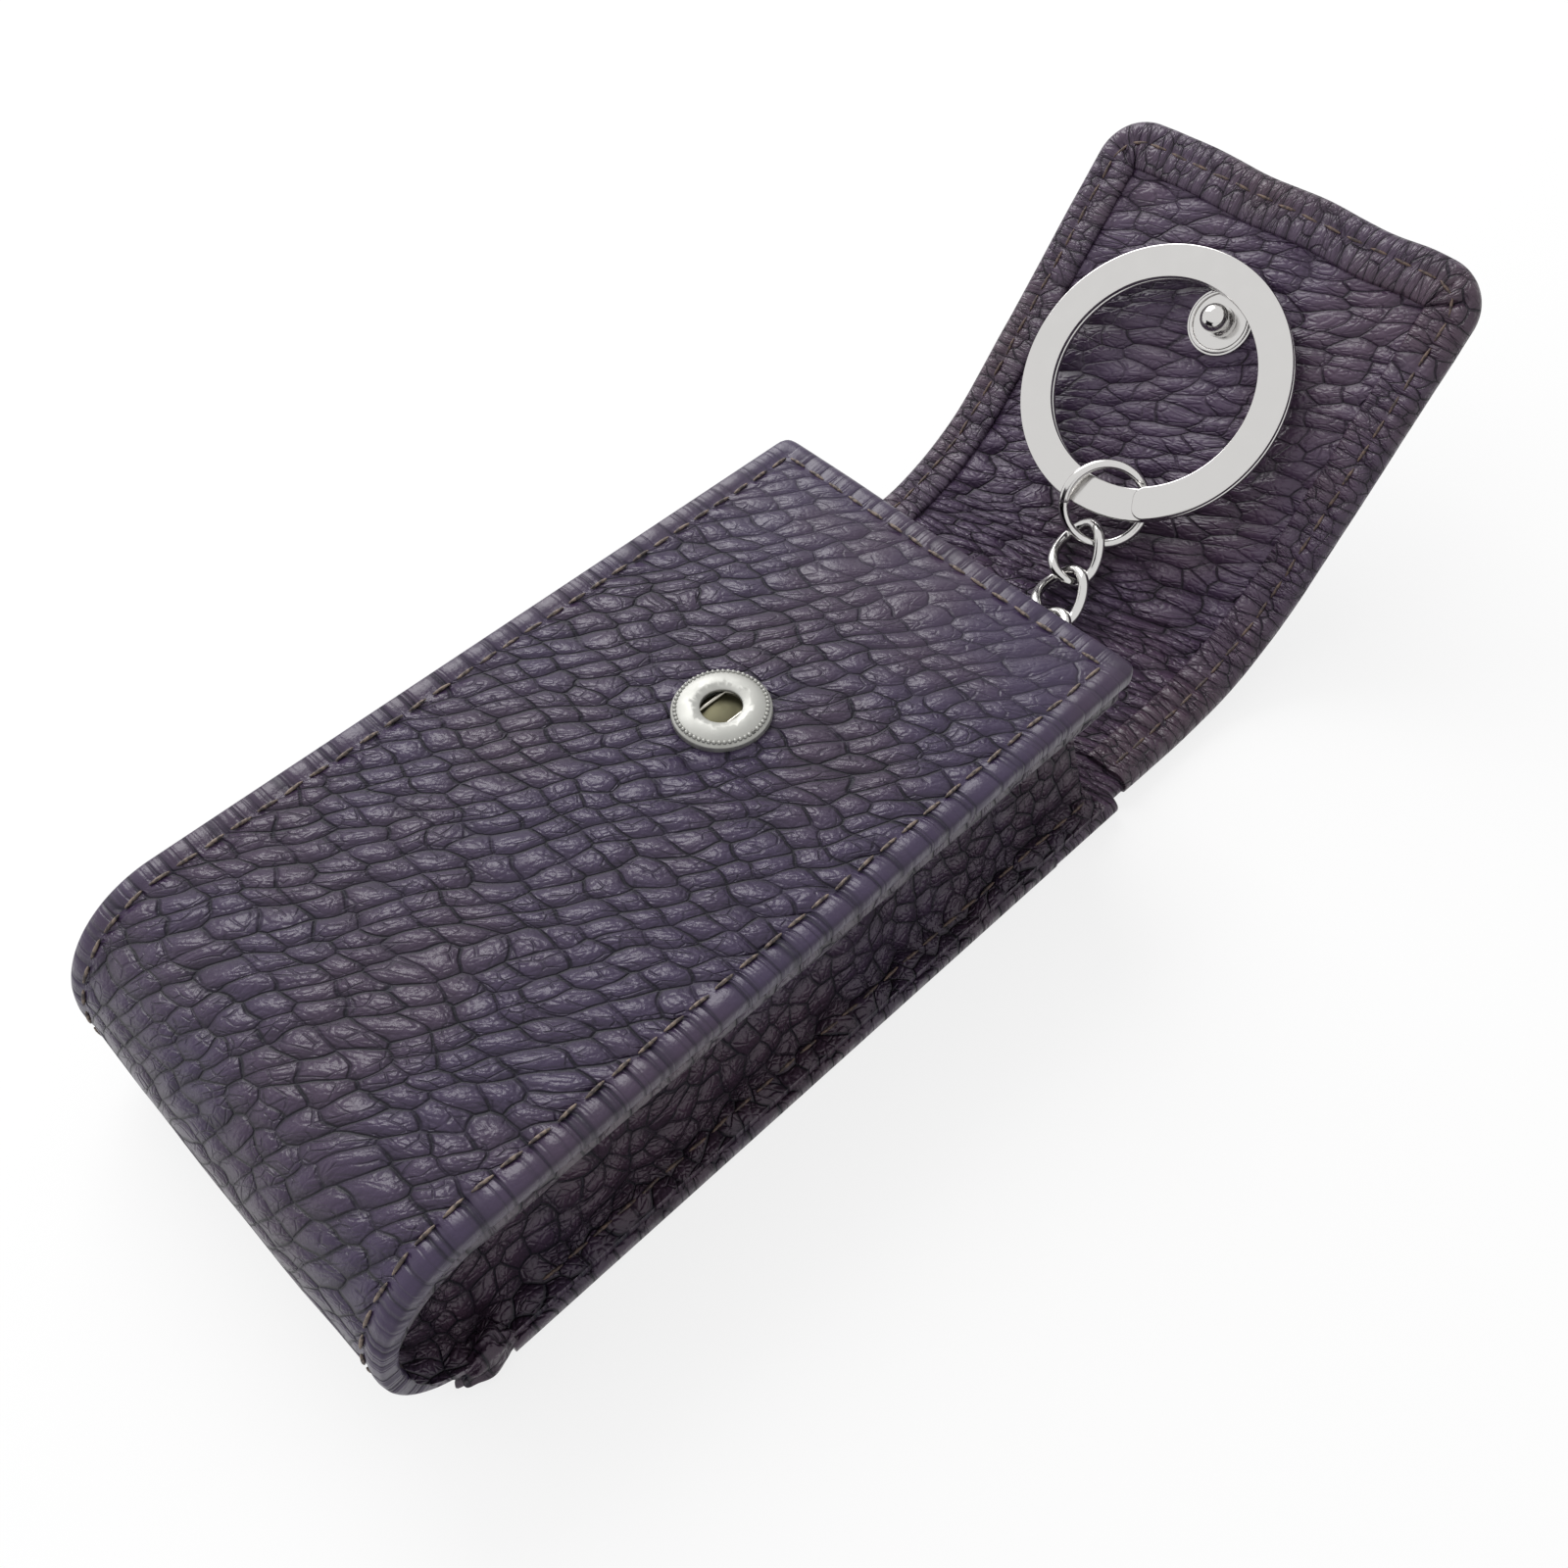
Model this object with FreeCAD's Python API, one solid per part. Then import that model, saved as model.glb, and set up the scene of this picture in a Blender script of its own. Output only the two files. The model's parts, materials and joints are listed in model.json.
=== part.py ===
"""Key case: a leather pocket with a curved flap, a snap and a ring on a short curb chain."""

import math
import os

import FreeCAD
import Part
from FreeCAD import Vector

# pocket
case_length = 104.0
front_width = 55.0
back_margin = 1.5
case_thick = 25.0
front_leather = 1.2
front_lining_thick = 1.0
back_leather = 1.1
back_lining_thick = 1.1
bottom_upper_round = 13.5
lining_inset = 0.5
lining_setback = 0.8

# gussets
gusset_leather = 1.0
gusset_fold_depth = 7.0
gusset_flange = 3.5
gusset_setback = 3.0

# snap socket on the front panel
socket_drop = 36.7
socket_radius = 5.5
socket_rim = 0.9
socket_height = 1.7
socket_crown_radius = 3.3
socket_mouth_radius = 2.3
socket_mouth_height = 1.35
socket_lip_height = 0.95
socket_chamber_radius = 3.3
socket_floor = 0.3
eyelet_radius = 2.9
eyelet_bore = 2.35
eyelet_flange_radius = 4.6
eyelet_flange_thick = 0.5
spring_wire = 0.22
spring_radius = 2.75
spring_leg_offset = 1.75
seat_clear = 0.05

# flap
flap_width = 55.0
flap_outer_thick = 1.1
flap_lining_thick = 1.1
flap_flat_run = 12.6
flap_bend_radius = 31.74
flap_bend_angle = 48.2
flap_straight_run = 39.7
flap_corner = 6.0
fold_gap = 0.15
fold_slit = 0.3
hem_width = 6.0
hem_thick = 0.6
hem_corner = 2.5
hem_start = 2.0
fold_arc_run = 17.2

# snap stud and cap on the tongue
stud_run = 21.9
stud_flange_radius = 4.25
stud_flange_thick = 0.5
stud_bead_radius = 3.75
stud_bead_wire = 0.3
stud_collar_radius = 1.95
stud_collar_height = 0.95
stud_neck_radius = 1.3
stud_ball_radius = 1.8
stud_ball_height = 2.6
stud_post_radius = 1.2
cap_radius = 6.0
cap_rim = 0.4
cap_height = 1.4

# curb chain
link_wire = 0.7
link_half_length = 4.25
link_half_width = 2.85
link_twist = 1.0
link_pitch = 6.85
chain_side_step = 2.4
chain_side = -0.3
chain_arc_run = 17.15
chain_height = 2.0

# anchor tab
tab_leather = 0.8
tab_hole = 1.85
tab_width = 1.5
tab_neck = 4.0
tab_start = 1.3

# jump ring, placed from the chain's first contact along and above the tongue
jump_radius = 5.3
jump_wire = 0.65
jump_near_side = 0.374
jump_near_run = -1.17
jump_near_height = 1.17
jump_rise = 1.4
jump_roll = 36.13
jump_heading = -8.51
jump_slit_angle = 2.0
jump_slit_at = 120.0

# split ring
ring_outer = 17.8
ring_inner = 13.5
ring_turn = 0.88
ring_gap = 0.14
ring_side = -1.95
ring_run = 19.96
ring_height = 0.425
ring_tilt = 5.72
ring_ramp_angle = 30.0
ring_ramp_steps = 6
ring_ramp_at = -64.0
ring_end_round = 1.6

half_share = 0.5
level_share = 0.01
link_samples = 8

X_AXIS = Vector(1, 0, 0)
Z_AXIS = Vector(0, 0, 1)
ORIGIN = Vector(0, 0, 0)


def face_of(edges):
    return Part.Face(Part.Wire(edges))


def line(a, b):
    return Part.LineSegment(a, b).toShape()


def arc(a, m, b):
    return Part.Arc(a, m, b).toShape()


def closed_lines(points):
    return face_of([line(p, q) for p, q in zip(points, points[1:] + points[:1])])


def extrude_x(face, width):
    moved = face.translated(Vector(-width * half_share, 0, 0))
    return moved.extrude(Vector(width, 0, 0))


def yz(y, z):
    return Vector(0, y, z)


def revolve_profile(edges, place):
    solid = face_of(edges).revolve(ORIGIN, Z_AXIS, 360)
    solid.Placement = place
    return solid


def save(name, shape):
    shape.exportStep("parts/" + name + ".step")


os.makedirs("parts", exist_ok=True)

# pocket layout
back_width = front_width + back_margin + back_margin
mouth_y = case_length * half_share
bottom_y = -mouth_y
bottom_lower_round = case_thick - bottom_upper_round
upper_y = bottom_y + bottom_upper_round
seam_y = bottom_y + bottom_lower_round
round_z = bottom_lower_round
diag_share = math.sqrt(half_share)
wall = front_leather + front_lining_thick
floor_thick = back_leather + back_lining_thick


def wrap_edges(inset, mouth):
    up = bottom_upper_round - inset
    low = bottom_lower_round - inset
    top = case_thick - inset
    first = line(yz(mouth, top), yz(upper_y, top))
    upper_mid = yz(upper_y - up * diag_share, round_z + up * diag_share)
    second = arc(yz(upper_y, top), upper_mid, yz(bottom_y + inset, round_z))
    lower_mid = yz(seam_y - low * diag_share, round_z - low * diag_share)
    third = arc(yz(bottom_y + inset, round_z), lower_mid, yz(seam_y, inset))
    return [first, second, third]


def wrap_layer(inset_out, inset_in, mouth, width):
    outer = wrap_edges(inset_out, mouth)
    inner = wrap_edges(inset_in, mouth)
    seam = line(yz(seam_y, inset_out), yz(seam_y, inset_in))
    lip = line(yz(mouth, case_thick - inset_in), yz(mouth, case_thick - inset_out))
    return extrude_x(face_of(outer + [seam] + inner[::-1] + [lip]), width)


# snap seat holes are cut through the front panel and its lining
socket_y = mouth_y - socket_drop
socket_at = Vector(0, socket_y, case_thick)
hole_depth = wall + socket_height
hole_base = Vector(0, socket_y, case_thick - hole_depth)
seat_hole = Part.makeCylinder(eyelet_radius + seat_clear, hole_depth + socket_height, hole_base)

front_panel = wrap_layer(0, front_leather, mouth_y, front_width).cut(seat_hole)
lining_width = front_width - lining_inset - lining_inset
lining_mouth = mouth_y - lining_setback
front_lining = wrap_layer(front_leather, wall, lining_mouth, lining_width).cut(seat_hole)
save("front_panel", front_panel)
save("front_lining", front_lining)

# back panel and lining stop short of the flap's fold
flap_mid = back_leather
fold_radius = flap_outer_thick
back_end = mouth_y - fold_radius - fold_gap
back_run = back_end - seam_y
back_half = back_width * half_share
back_panel = Part.makeBox(back_width, back_run, back_leather, Vector(-back_half, seam_y, 0))
back_inner = back_width - lining_inset - lining_inset
back_corner = Vector(lining_inset - back_half, seam_y, back_leather)
back_lining = Part.makeBox(back_inner, back_run, back_lining_thick, back_corner)
save("back_panel", back_panel)
save("back_lining", back_lining)

# gussets: a flange under the front, a fold inward, a flange on the back
cavity_edges = wrap_edges(wall, mouth_y)
cavity_edges.append(line(yz(seam_y, wall), yz(mouth_y, wall)))
cavity_edges.append(line(yz(mouth_y, wall), yz(mouth_y, case_thick - wall)))


def gusset_solid(side):
    front_half = front_width * half_share
    root_x = front_half - gusset_flange
    fold_x = front_half - gusset_fold_depth
    top_z = case_thick - wall
    low_z = floor_thick
    mid_z = (top_z + low_z) * half_share
    lean = math.atan2(root_x - fold_x, mid_z - low_z)
    skin = gusset_leather / math.cos(lean)
    back_x = back_half - lining_inset
    spots = [
        (front_half - lining_inset, top_z),
        (front_half - lining_inset, top_z - gusset_leather),
        (root_x + skin, top_z - gusset_leather),
        (fold_x + skin, mid_z),
        (root_x + skin, low_z + gusset_leather),
        (back_x, low_z + gusset_leather),
        (back_x, low_z),
        (root_x, low_z),
        (fold_x, mid_z),
        (root_x, top_z),
    ]
    face = closed_lines([Vector(side * x, bottom_y, z) for x, z in spots])
    sheet = face.extrude(Vector(0, case_length - gusset_setback, 0))
    return sheet.common(extrude_x(face_of(cavity_edges), back_width))


save("gusset_left", gusset_solid(-1))
save("gusset_right", gusset_solid(1))

# snap socket: domed rim, chamber for the spring, seat for the eyelet's tube
crown = Vector(socket_crown_radius, 0, socket_height)
rim_top = Vector(socket_radius, 0, socket_rim)
swell_radius = (socket_radius + socket_crown_radius) * half_share
swell_height = socket_rim + (socket_height - socket_rim) * diag_share
crown_swell = Vector(swell_radius, 0, swell_height)
mouth_top = Vector(socket_mouth_radius, 0, socket_mouth_height)
mouth_low = Vector(socket_mouth_radius, 0, socket_lip_height)
chamber_top = Vector(socket_chamber_radius, 0, socket_lip_height)
chamber_low = Vector(socket_chamber_radius, 0, socket_floor)
seat_top = Vector(eyelet_radius + seat_clear, 0, socket_floor)
seat_low = Vector(eyelet_radius + seat_clear, 0, 0)
rim_low = Vector(socket_radius, 0, 0)
socket_edges = [
    line(seat_low, rim_low),
    line(rim_low, rim_top),
    arc(rim_top, crown_swell, crown),
    line(crown, mouth_top),
    line(mouth_top, mouth_low),
    line(mouth_low, chamber_top),
    line(chamber_top, chamber_low),
    line(chamber_low, seat_top),
    line(seat_top, seat_low),
]
snap_socket = revolve_profile(socket_edges, FreeCAD.Placement(socket_at, FreeCAD.Rotation()))
save("snap_socket", snap_socket)

tube_low = Vector(0, socket_y, case_thick - wall - eyelet_flange_thick)
tube_run = wall + eyelet_flange_thick + socket_floor
eyelet_tube = Part.makeCylinder(eyelet_radius, tube_run, tube_low)
eyelet_flange = Part.makeCylinder(eyelet_flange_radius, eyelet_flange_thick, tube_low)
eyelet_hole = Part.makeCylinder(eyelet_bore, tube_run, tube_low)
socket_eyelet = eyelet_tube.fuse(eyelet_flange).cut(eyelet_hole).removeSplitter()
save("socket_eyelet", socket_eyelet)

# S spring: two legs beside the ball's neck, joined round the chamber
spring_z = case_thick + socket_floor + spring_wire
leg_half = math.sqrt(spring_radius * spring_radius - spring_leg_offset * spring_leg_offset)
bend_angle = math.degrees(math.atan2(leg_half, spring_leg_offset))


def spring_leg(side):
    foot = Vector(side * spring_leg_offset, socket_y - leg_half, spring_z)
    rod = Part.makeCylinder(spring_wire, leg_half + leg_half, foot, Vector(0, 1, 0))
    tips = []
    for end in (-1, 1):
        tips.append(Part.makeSphere(spring_wire, Vector(foot.x, socket_y + end * leg_half, spring_z)))
    return rod.multiFuse(tips)


bow_start = Vector(spring_radius, 0, 0)
bow_circle = Part.Wire(Part.makeCircle(spring_wire, bow_start, Vector(0, 1, 0)))
bow = Part.Face(bow_circle).revolve(ORIGIN, Z_AXIS, 180 - bend_angle - bend_angle)
bow.rotate(ORIGIN, Z_AXIS, bend_angle)
bow.translate(Vector(0, socket_y, spring_z))
socket_spring = spring_leg(-1).multiFuse([spring_leg(1), bow]).removeSplitter()
save("socket_spring", socket_spring)

# flap: flat at the mouth, then a bend, then straight; the mid-plane is between outer and lining
fold_at = yz(mouth_y, flap_mid)
bend_y = mouth_y + flap_flat_run
bend_z = flap_mid + flap_bend_radius
bend_end = math.radians(flap_bend_angle)
fold_turn = fold_arc_run / flap_bend_radius
slit_turn = fold_slit * half_share / flap_bend_radius
lining_face = flap_bend_radius - flap_lining_thick
run_dir = yz(math.cos(bend_end), math.sin(bend_end))
rise_dir = yz(-math.sin(bend_end), math.cos(bend_end))


def on_bend(turn, radius):
    return yz(bend_y + radius * math.sin(turn), bend_z - radius * math.cos(turn))


def on_tongue(side, run, height):
    base = on_bend(bend_end, lining_face)
    return base + run_dir * run + rise_dir * height + X_AXIS * side


def bend_arc(radius, start, stop):
    mid = (start + stop) * half_share
    return arc(on_bend(start, radius), on_bend(mid, radius), on_bend(stop, radius))


def root_layer(low, high, nose):
    stop = fold_turn - slit_turn
    r_low = flap_bend_radius - low
    r_high = flap_bend_radius - high
    z_low = flap_mid + low
    z_high = flap_mid + high
    edges = []
    if nose:
        tip = yz(mouth_y - fold_radius, flap_mid)
        turn = fold_radius * diag_share
        swing = 1 if high > 0 else -1
        nose_mid = yz(mouth_y - turn, flap_mid + swing * turn)
        curve = arc(tip, nose_mid, yz(mouth_y, flap_mid + swing * fold_radius))
        start_low = tip if high > 0 else yz(mouth_y, z_low)
        start_high = yz(mouth_y, z_high) if high > 0 else tip
        edges.append(curve)
    else:
        start_low = yz(mouth_y + hem_start, z_low)
        start_high = yz(mouth_y + hem_start, z_high)
        edges.append(line(start_low, start_high))
    edges.append(line(start_high, yz(bend_y, z_high)))
    edges.append(bend_arc(r_high, 0, stop))
    edges.append(line(on_bend(stop, r_high), on_bend(stop, r_low)))
    edges.append(bend_arc(r_low, 0, stop))
    edges.append(line(yz(bend_y, z_low), start_low))
    return Part.Face(Part.Wire(Part.__sortEdges__(edges)))


def tongue_layer(low, high, start, run):
    r_low = flap_bend_radius - low
    r_high = flap_bend_radius - high
    end_low = on_bend(bend_end, r_low) + run_dir * run
    end_high = on_bend(bend_end, r_high) + run_dir * run
    edges = [
        bend_arc(r_low, start, bend_end),
        line(on_bend(bend_end, r_low), end_low),
        line(end_low, end_high),
        line(end_high, on_bend(bend_end, r_high)),
        bend_arc(r_high, start, bend_end),
        line(on_bend(start, r_high), on_bend(start, r_low)),
    ]
    return Part.Face(Part.Wire(Part.__sortEdges__(edges)))


def round_tip(solid, width, run, radius):
    corners = []
    reach = radius * half_share
    tip_run = on_bend(bend_end, lining_face).dot(run_dir) + run - reach
    side = width * half_share - reach
    for edge in solid.Edges:
        ends = [v.Point for v in edge.Vertexes]
        if len(ends) == 2 and all(p.dot(run_dir) > tip_run and abs(p.x) > side for p in ends):
            if abs((ends[1] - ends[0]).dot(X_AXIS)) < reach and (ends[0].x > 0) == (ends[1].x > 0):
                corners.append(edge)
    return solid.makeFillet(radius, corners)


flap_root_outer = extrude_x(root_layer(-flap_outer_thick, 0, True), flap_width)
flap_root_lining = extrude_x(root_layer(0, flap_lining_thick, True), flap_width)
save("flap_root_outer", flap_root_outer)
save("flap_root_lining", flap_root_lining)

hem_top = flap_lining_thick + hem_thick
hem_shift = (flap_width - hem_width) * half_share
hem_strip = extrude_x(root_layer(flap_lining_thick, hem_top, False), hem_width)
save("root_hem_left", hem_strip.translated(Vector(-hem_shift, 0, 0)))
save("root_hem_right", hem_strip.translated(Vector(hem_shift, 0, 0)))

tongue_start = fold_turn + slit_turn
stud_at = on_tongue(0, stud_run, 0)
post_hole_base = on_tongue(0, stud_run, -flap_outer_thick - flap_lining_thick - cap_height)
post_hole_run = flap_outer_thick + flap_lining_thick + cap_height + cap_height
post_hole = Part.makeCylinder(stud_post_radius + seat_clear, post_hole_run, post_hole_base, rise_dir)

outer_slab = extrude_x(tongue_layer(-flap_outer_thick, 0, tongue_start, flap_straight_run), flap_width)
outer_slab = round_tip(outer_slab, flap_width, flap_straight_run, flap_corner)
save("flap_tongue_outer", outer_slab.cut(post_hole))

lining_slab = extrude_x(tongue_layer(0, flap_lining_thick, tongue_start, flap_straight_run), flap_width)
lining_slab = round_tip(lining_slab, flap_width, flap_straight_run, flap_corner)
save("flap_tongue_lining", lining_slab.cut(post_hole))

hem_slab = extrude_x(tongue_layer(flap_lining_thick, hem_top, tongue_start, flap_straight_run), flap_width)
hem_slab = round_tip(hem_slab, flap_width, flap_straight_run, flap_corner)
field_width = flap_width - hem_width - hem_width
field_run = flap_straight_run - hem_width
field_start = fold_turn - slit_turn
field_low = flap_lining_thick - hem_thick
field_top = hem_top + hem_thick
field = extrude_x(tongue_layer(field_low, field_top, field_start, field_run), field_width)
field = round_tip(field, field_width, field_run, hem_corner)
save("flap_tongue_hem", hem_slab.cut(field))

# stud on the lining with its post through both leathers, cap on the outer face
tongue_turn = FreeCAD.Rotation(X_AXIS, flap_bend_angle)
flap_thick = flap_outer_thick + flap_lining_thick
stud_flange = Part.makeCylinder(stud_flange_radius, stud_flange_thick, stud_at, rise_dir)
stud_neck = Part.makeCylinder(stud_neck_radius, stud_ball_height, stud_at, rise_dir)
stud_collar = Part.makeCylinder(stud_collar_radius, stud_collar_height, stud_at, rise_dir)
stud_bead_at = on_tongue(0, stud_run, stud_flange_thick)
stud_bead = Part.makeTorus(stud_bead_radius, stud_bead_wire, stud_bead_at, rise_dir)
stud_ball = Part.makeSphere(stud_ball_radius, on_tongue(0, stud_run, stud_ball_height))
stud_post = Part.makeCylinder(stud_post_radius, flap_thick, on_tongue(0, stud_run, -flap_thick), rise_dir)
snap_stud = stud_flange.multiFuse([stud_bead, stud_collar, stud_neck, stud_ball, stud_post]).removeSplitter()
save("snap_stud", snap_stud)

cap_low = Vector(0, 0, -cap_height)
cap_edge = Vector(cap_radius, 0, -cap_rim)
cap_dome = cap_height - cap_rim
cap_sphere = (cap_radius * cap_radius + cap_dome * cap_dome) / (cap_dome + cap_dome)
cap_half = cap_radius * half_share
cap_sag = cap_sphere - math.sqrt(cap_sphere * cap_sphere - cap_half * cap_half)
cap_mid = Vector(cap_half, 0, cap_sag - cap_height)
cap_edges = [
    line(ORIGIN, Vector(cap_radius, 0, 0)),
    line(Vector(cap_radius, 0, 0), cap_edge),
    arc(cap_edge, cap_mid, cap_low),
    line(cap_low, ORIGIN),
]
snap_cap = revolve_profile(cap_edges, FreeCAD.Placement(on_tongue(0, stud_run, -flap_thick), tongue_turn))
save("snap_cap", snap_cap)

# chain contacts: the first lies beside the front fold, the others step back along the bend
chain_turn = chain_arc_run / flap_bend_radius
contact_radius = lining_face - chain_height
chord = math.sqrt(link_pitch * link_pitch - chain_side_step * chain_side_step)
chord_turn = math.asin(chord * half_share / contact_radius)
step_turn = chord_turn + chord_turn
contact_1 = on_bend(chain_turn, contact_radius) + X_AXIS * chain_side
contact_2 = on_bend(chain_turn - step_turn, contact_radius) + X_AXIS * (chain_side + chain_side_step)
side_3 = chain_side + chain_side_step + chain_side_step
contact_3 = on_bend(chain_turn - step_turn - step_turn, contact_radius) + X_AXIS * side_3
tab_outer = tab_hole + tab_leather
tab_z = floor_thick + tab_outer
tab_reach = link_pitch * half_share + link_half_length
tab_drop = tab_z - contact_3.z
tab_back = math.sqrt(tab_reach * tab_reach - chain_side_step * chain_side_step - tab_drop * tab_drop)
tab_at = Vector(side_3 + chain_side_step, contact_3.y - tab_back, tab_z)


def biarc(p, t, q, s):
    span = q - p
    quad = t.dot(t) + s.dot(s) - t.dot(s) - t.dot(s)
    lin = span.dot(t + s)
    room = span.dot(span)
    if abs(quad) < level_share:
        reach = room / (lin + lin)
    else:
        reach = (math.sqrt(lin * lin + quad * room) - lin) / quad
    joint = (p + q + (t - s) * reach) * half_share
    return [(p, t, joint), (joint, None, q)]


def torus_piece(p, t, q, wire):
    to_q = q - p
    axis = t.cross(to_q)
    inward = axis.cross(t)
    inward.normalize()
    radius = to_q.dot(to_q) / (to_q.dot(inward) + to_q.dot(inward))
    centre = p + inward * radius
    sweep = math.degrees((p - centre).getAngle(q - centre))
    axis.normalize()
    disc = Part.Face(Part.Wire(Part.makeCircle(wire, p, t)))
    piece = disc.revolve(centre, axis, sweep)
    turn = FreeCAD.Rotation(axis, sweep)
    return piece, turn.multVec(t)


def curb_link(low, high):
    along = high - low
    along.normalize()
    # the link lies on the lining: its flat side faces the centre of the bend
    middle = (low + high) * half_share
    up = yz(bend_y - middle.y, bend_z - middle.z)
    up = up - along * up.dot(along)
    up.normalize()
    across = up.cross(along)
    knots = []
    for k in range(link_samples):
        a = math.tau * k / link_samples
        spot = along * (link_half_length * math.cos(a))
        spot = spot + across * (link_half_width * math.sin(a))
        spot = spot - up * (link_twist * math.sin(a + a))
        lead = along * (-link_half_length * math.sin(a))
        lead = lead + across * (link_half_width * math.cos(a))
        lead = lead - up * (link_twist * (math.cos(a + a) + math.cos(a + a)))
        lead.normalize()
        knots.append((middle + spot, lead))
    pieces = []
    for (p, t), (q, s) in zip(knots, knots[1:] + knots[:1]):
        first, second = biarc(p, t, q, s)
        piece, lead = torus_piece(first[0], t, first[2], link_wire)
        pieces.append(piece)
        piece, lead = torus_piece(second[0], lead, second[2], link_wire)
        pieces.append(piece)
    return pieces[0].multiFuse(pieces[1:]).removeSplitter()


save("chain_link_1", curb_link(contact_2, contact_1))
save("chain_link_2", curb_link(contact_3, contact_2))
# the third link's lower end lies in the tab, its upper end at the contact
lead_3 = contact_3 - tab_at
lead_3.normalize()
save("chain_link_3", curb_link(contact_3 - lead_3 * link_pitch, contact_3))

# anchor tab: a strip folded round the third link and sewn down behind it
tab_base = floor_thick
strip_top = tab_base + tab_leather + tab_leather
tab_first = yz(mouth_y + tab_start, tab_base)
tab_edges = [
    line(tab_first, yz(tab_at.y, tab_base)),
    arc(yz(tab_at.y, tab_base), yz(tab_at.y + tab_outer, tab_z), yz(tab_at.y, tab_z + tab_outer)),
    line(yz(tab_at.y, tab_z + tab_outer), yz(tab_at.y - tab_neck, strip_top)),
    line(yz(tab_at.y - tab_neck, strip_top), yz(mouth_y + tab_start, strip_top)),
    line(yz(mouth_y + tab_start, strip_top), tab_first),
]
tab_strip = extrude_x(face_of(tab_edges), tab_width)
tab_side = yz(tab_at.y, tab_z) - X_AXIS * (tab_width * half_share)
tab_bore = Part.makeCylinder(tab_hole, tab_width, tab_side, X_AXIS)
save("anchor_tab", tab_strip.cut(tab_bore).translated(X_AXIS * tab_at.x))

# jump ring: one round turn with a slit, leaning so that one side is over the band and one under it
rise = math.radians(jump_rise)
roll = math.radians(jump_roll)
heading = math.radians(jump_heading)
flat_run = math.cos(heading) * math.cos(rise)
flat_rise = math.cos(heading) * math.sin(rise)
jump_out = X_AXIS * -math.sin(heading) + run_dir * flat_run + rise_dir * flat_rise
jump_level = rise_dir.cross(jump_out)
jump_level.normalize()
jump_up = jump_out.cross(jump_level)
jump_lean = jump_level * math.cos(roll) + jump_up * math.sin(roll)
jump_axis = jump_out.cross(jump_lean)
jump_near = contact_1 + X_AXIS * jump_near_side + run_dir * jump_near_run + rise_dir * jump_near_height
jump_at = jump_near + jump_out * jump_radius
slit_from = FreeCAD.Rotation(jump_axis, jump_slit_at).multVec(jump_out)
slit_at = jump_at + slit_from * jump_radius
jump_circle = Part.makeCircle(jump_wire, slit_at, jump_axis.cross(slit_from))
jump_face = Part.Face(Part.Wire(jump_circle))
jump_ring = jump_face.revolve(jump_at, jump_axis, 360 - jump_slit_angle)
save("jump_ring", jump_ring)

# split ring: two flat turns and the ramp that joins them
turn_sweep = 360 - ring_ramp_angle
band = ring_outer - ring_inner
turn_low = -ring_turn - ring_gap * half_share
turn_high = ring_gap * half_share


def ring_section(angle, base):
    way = Vector(math.cos(angle), math.sin(angle), 0)
    lift = Vector(0, 0, base)
    tall = Vector(0, 0, base + ring_turn)
    a = way * ring_inner + lift
    b = way * ring_outer + lift
    c = way * ring_outer + tall
    d = way * ring_inner + tall
    return Part.Wire([line(a, b), line(b, c), line(c, d), line(d, a)])


def flat_turn(base, free_end):
    turn = Part.Face(ring_section(0, base)).revolve(ORIGIN, Z_AXIS, turn_sweep)
    way = Vector(math.cos(free_end), math.sin(free_end), 0)
    corners = []
    for edge in turn.Edges:
        ends = [v.Point for v in edge.Vertexes]
        if len(ends) == 2 and abs(ends[1].z - ends[0].z) > ring_gap:
            if Vector(ends[0].x, ends[0].y, 0).cross(way).Length < ring_gap and ends[0].dot(way) > 0:
                corners.append(edge)
    return turn.makeFillet(ring_end_round, corners)


ramp_sections = []
for k in range(ring_ramp_steps + 1):
    part_way = k / ring_ramp_steps
    ease = part_way * part_way * (3 - part_way - part_way)
    angle = math.radians(turn_sweep + ring_ramp_angle * part_way)
    ramp_sections.append(ring_section(angle, turn_high + (turn_low - turn_high) * ease))
ramp = Part.makeLoft(ramp_sections, True, True)
lower_turn = flat_turn(turn_low, math.radians(turn_sweep))
upper_turn = flat_turn(turn_high, 0)
split_ring = lower_turn.multiFuse([ramp, upper_turn]).removeSplitter()
ring_turned = FreeCAD.Rotation(X_AXIS, flap_bend_angle - ring_tilt)
ramp_turned = FreeCAD.Rotation(Z_AXIS, ring_ramp_at)
ring_at = contact_1 + X_AXIS * ring_side + run_dir * ring_run + rise_dir * ring_height
split_ring.Placement = FreeCAD.Placement(ring_at, ring_turned.multiply(ramp_turned))
save("split_ring", split_ring)
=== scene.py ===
import json
import math
import random
import bpy
from mathutils import Matrix, Vector, noise

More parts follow.
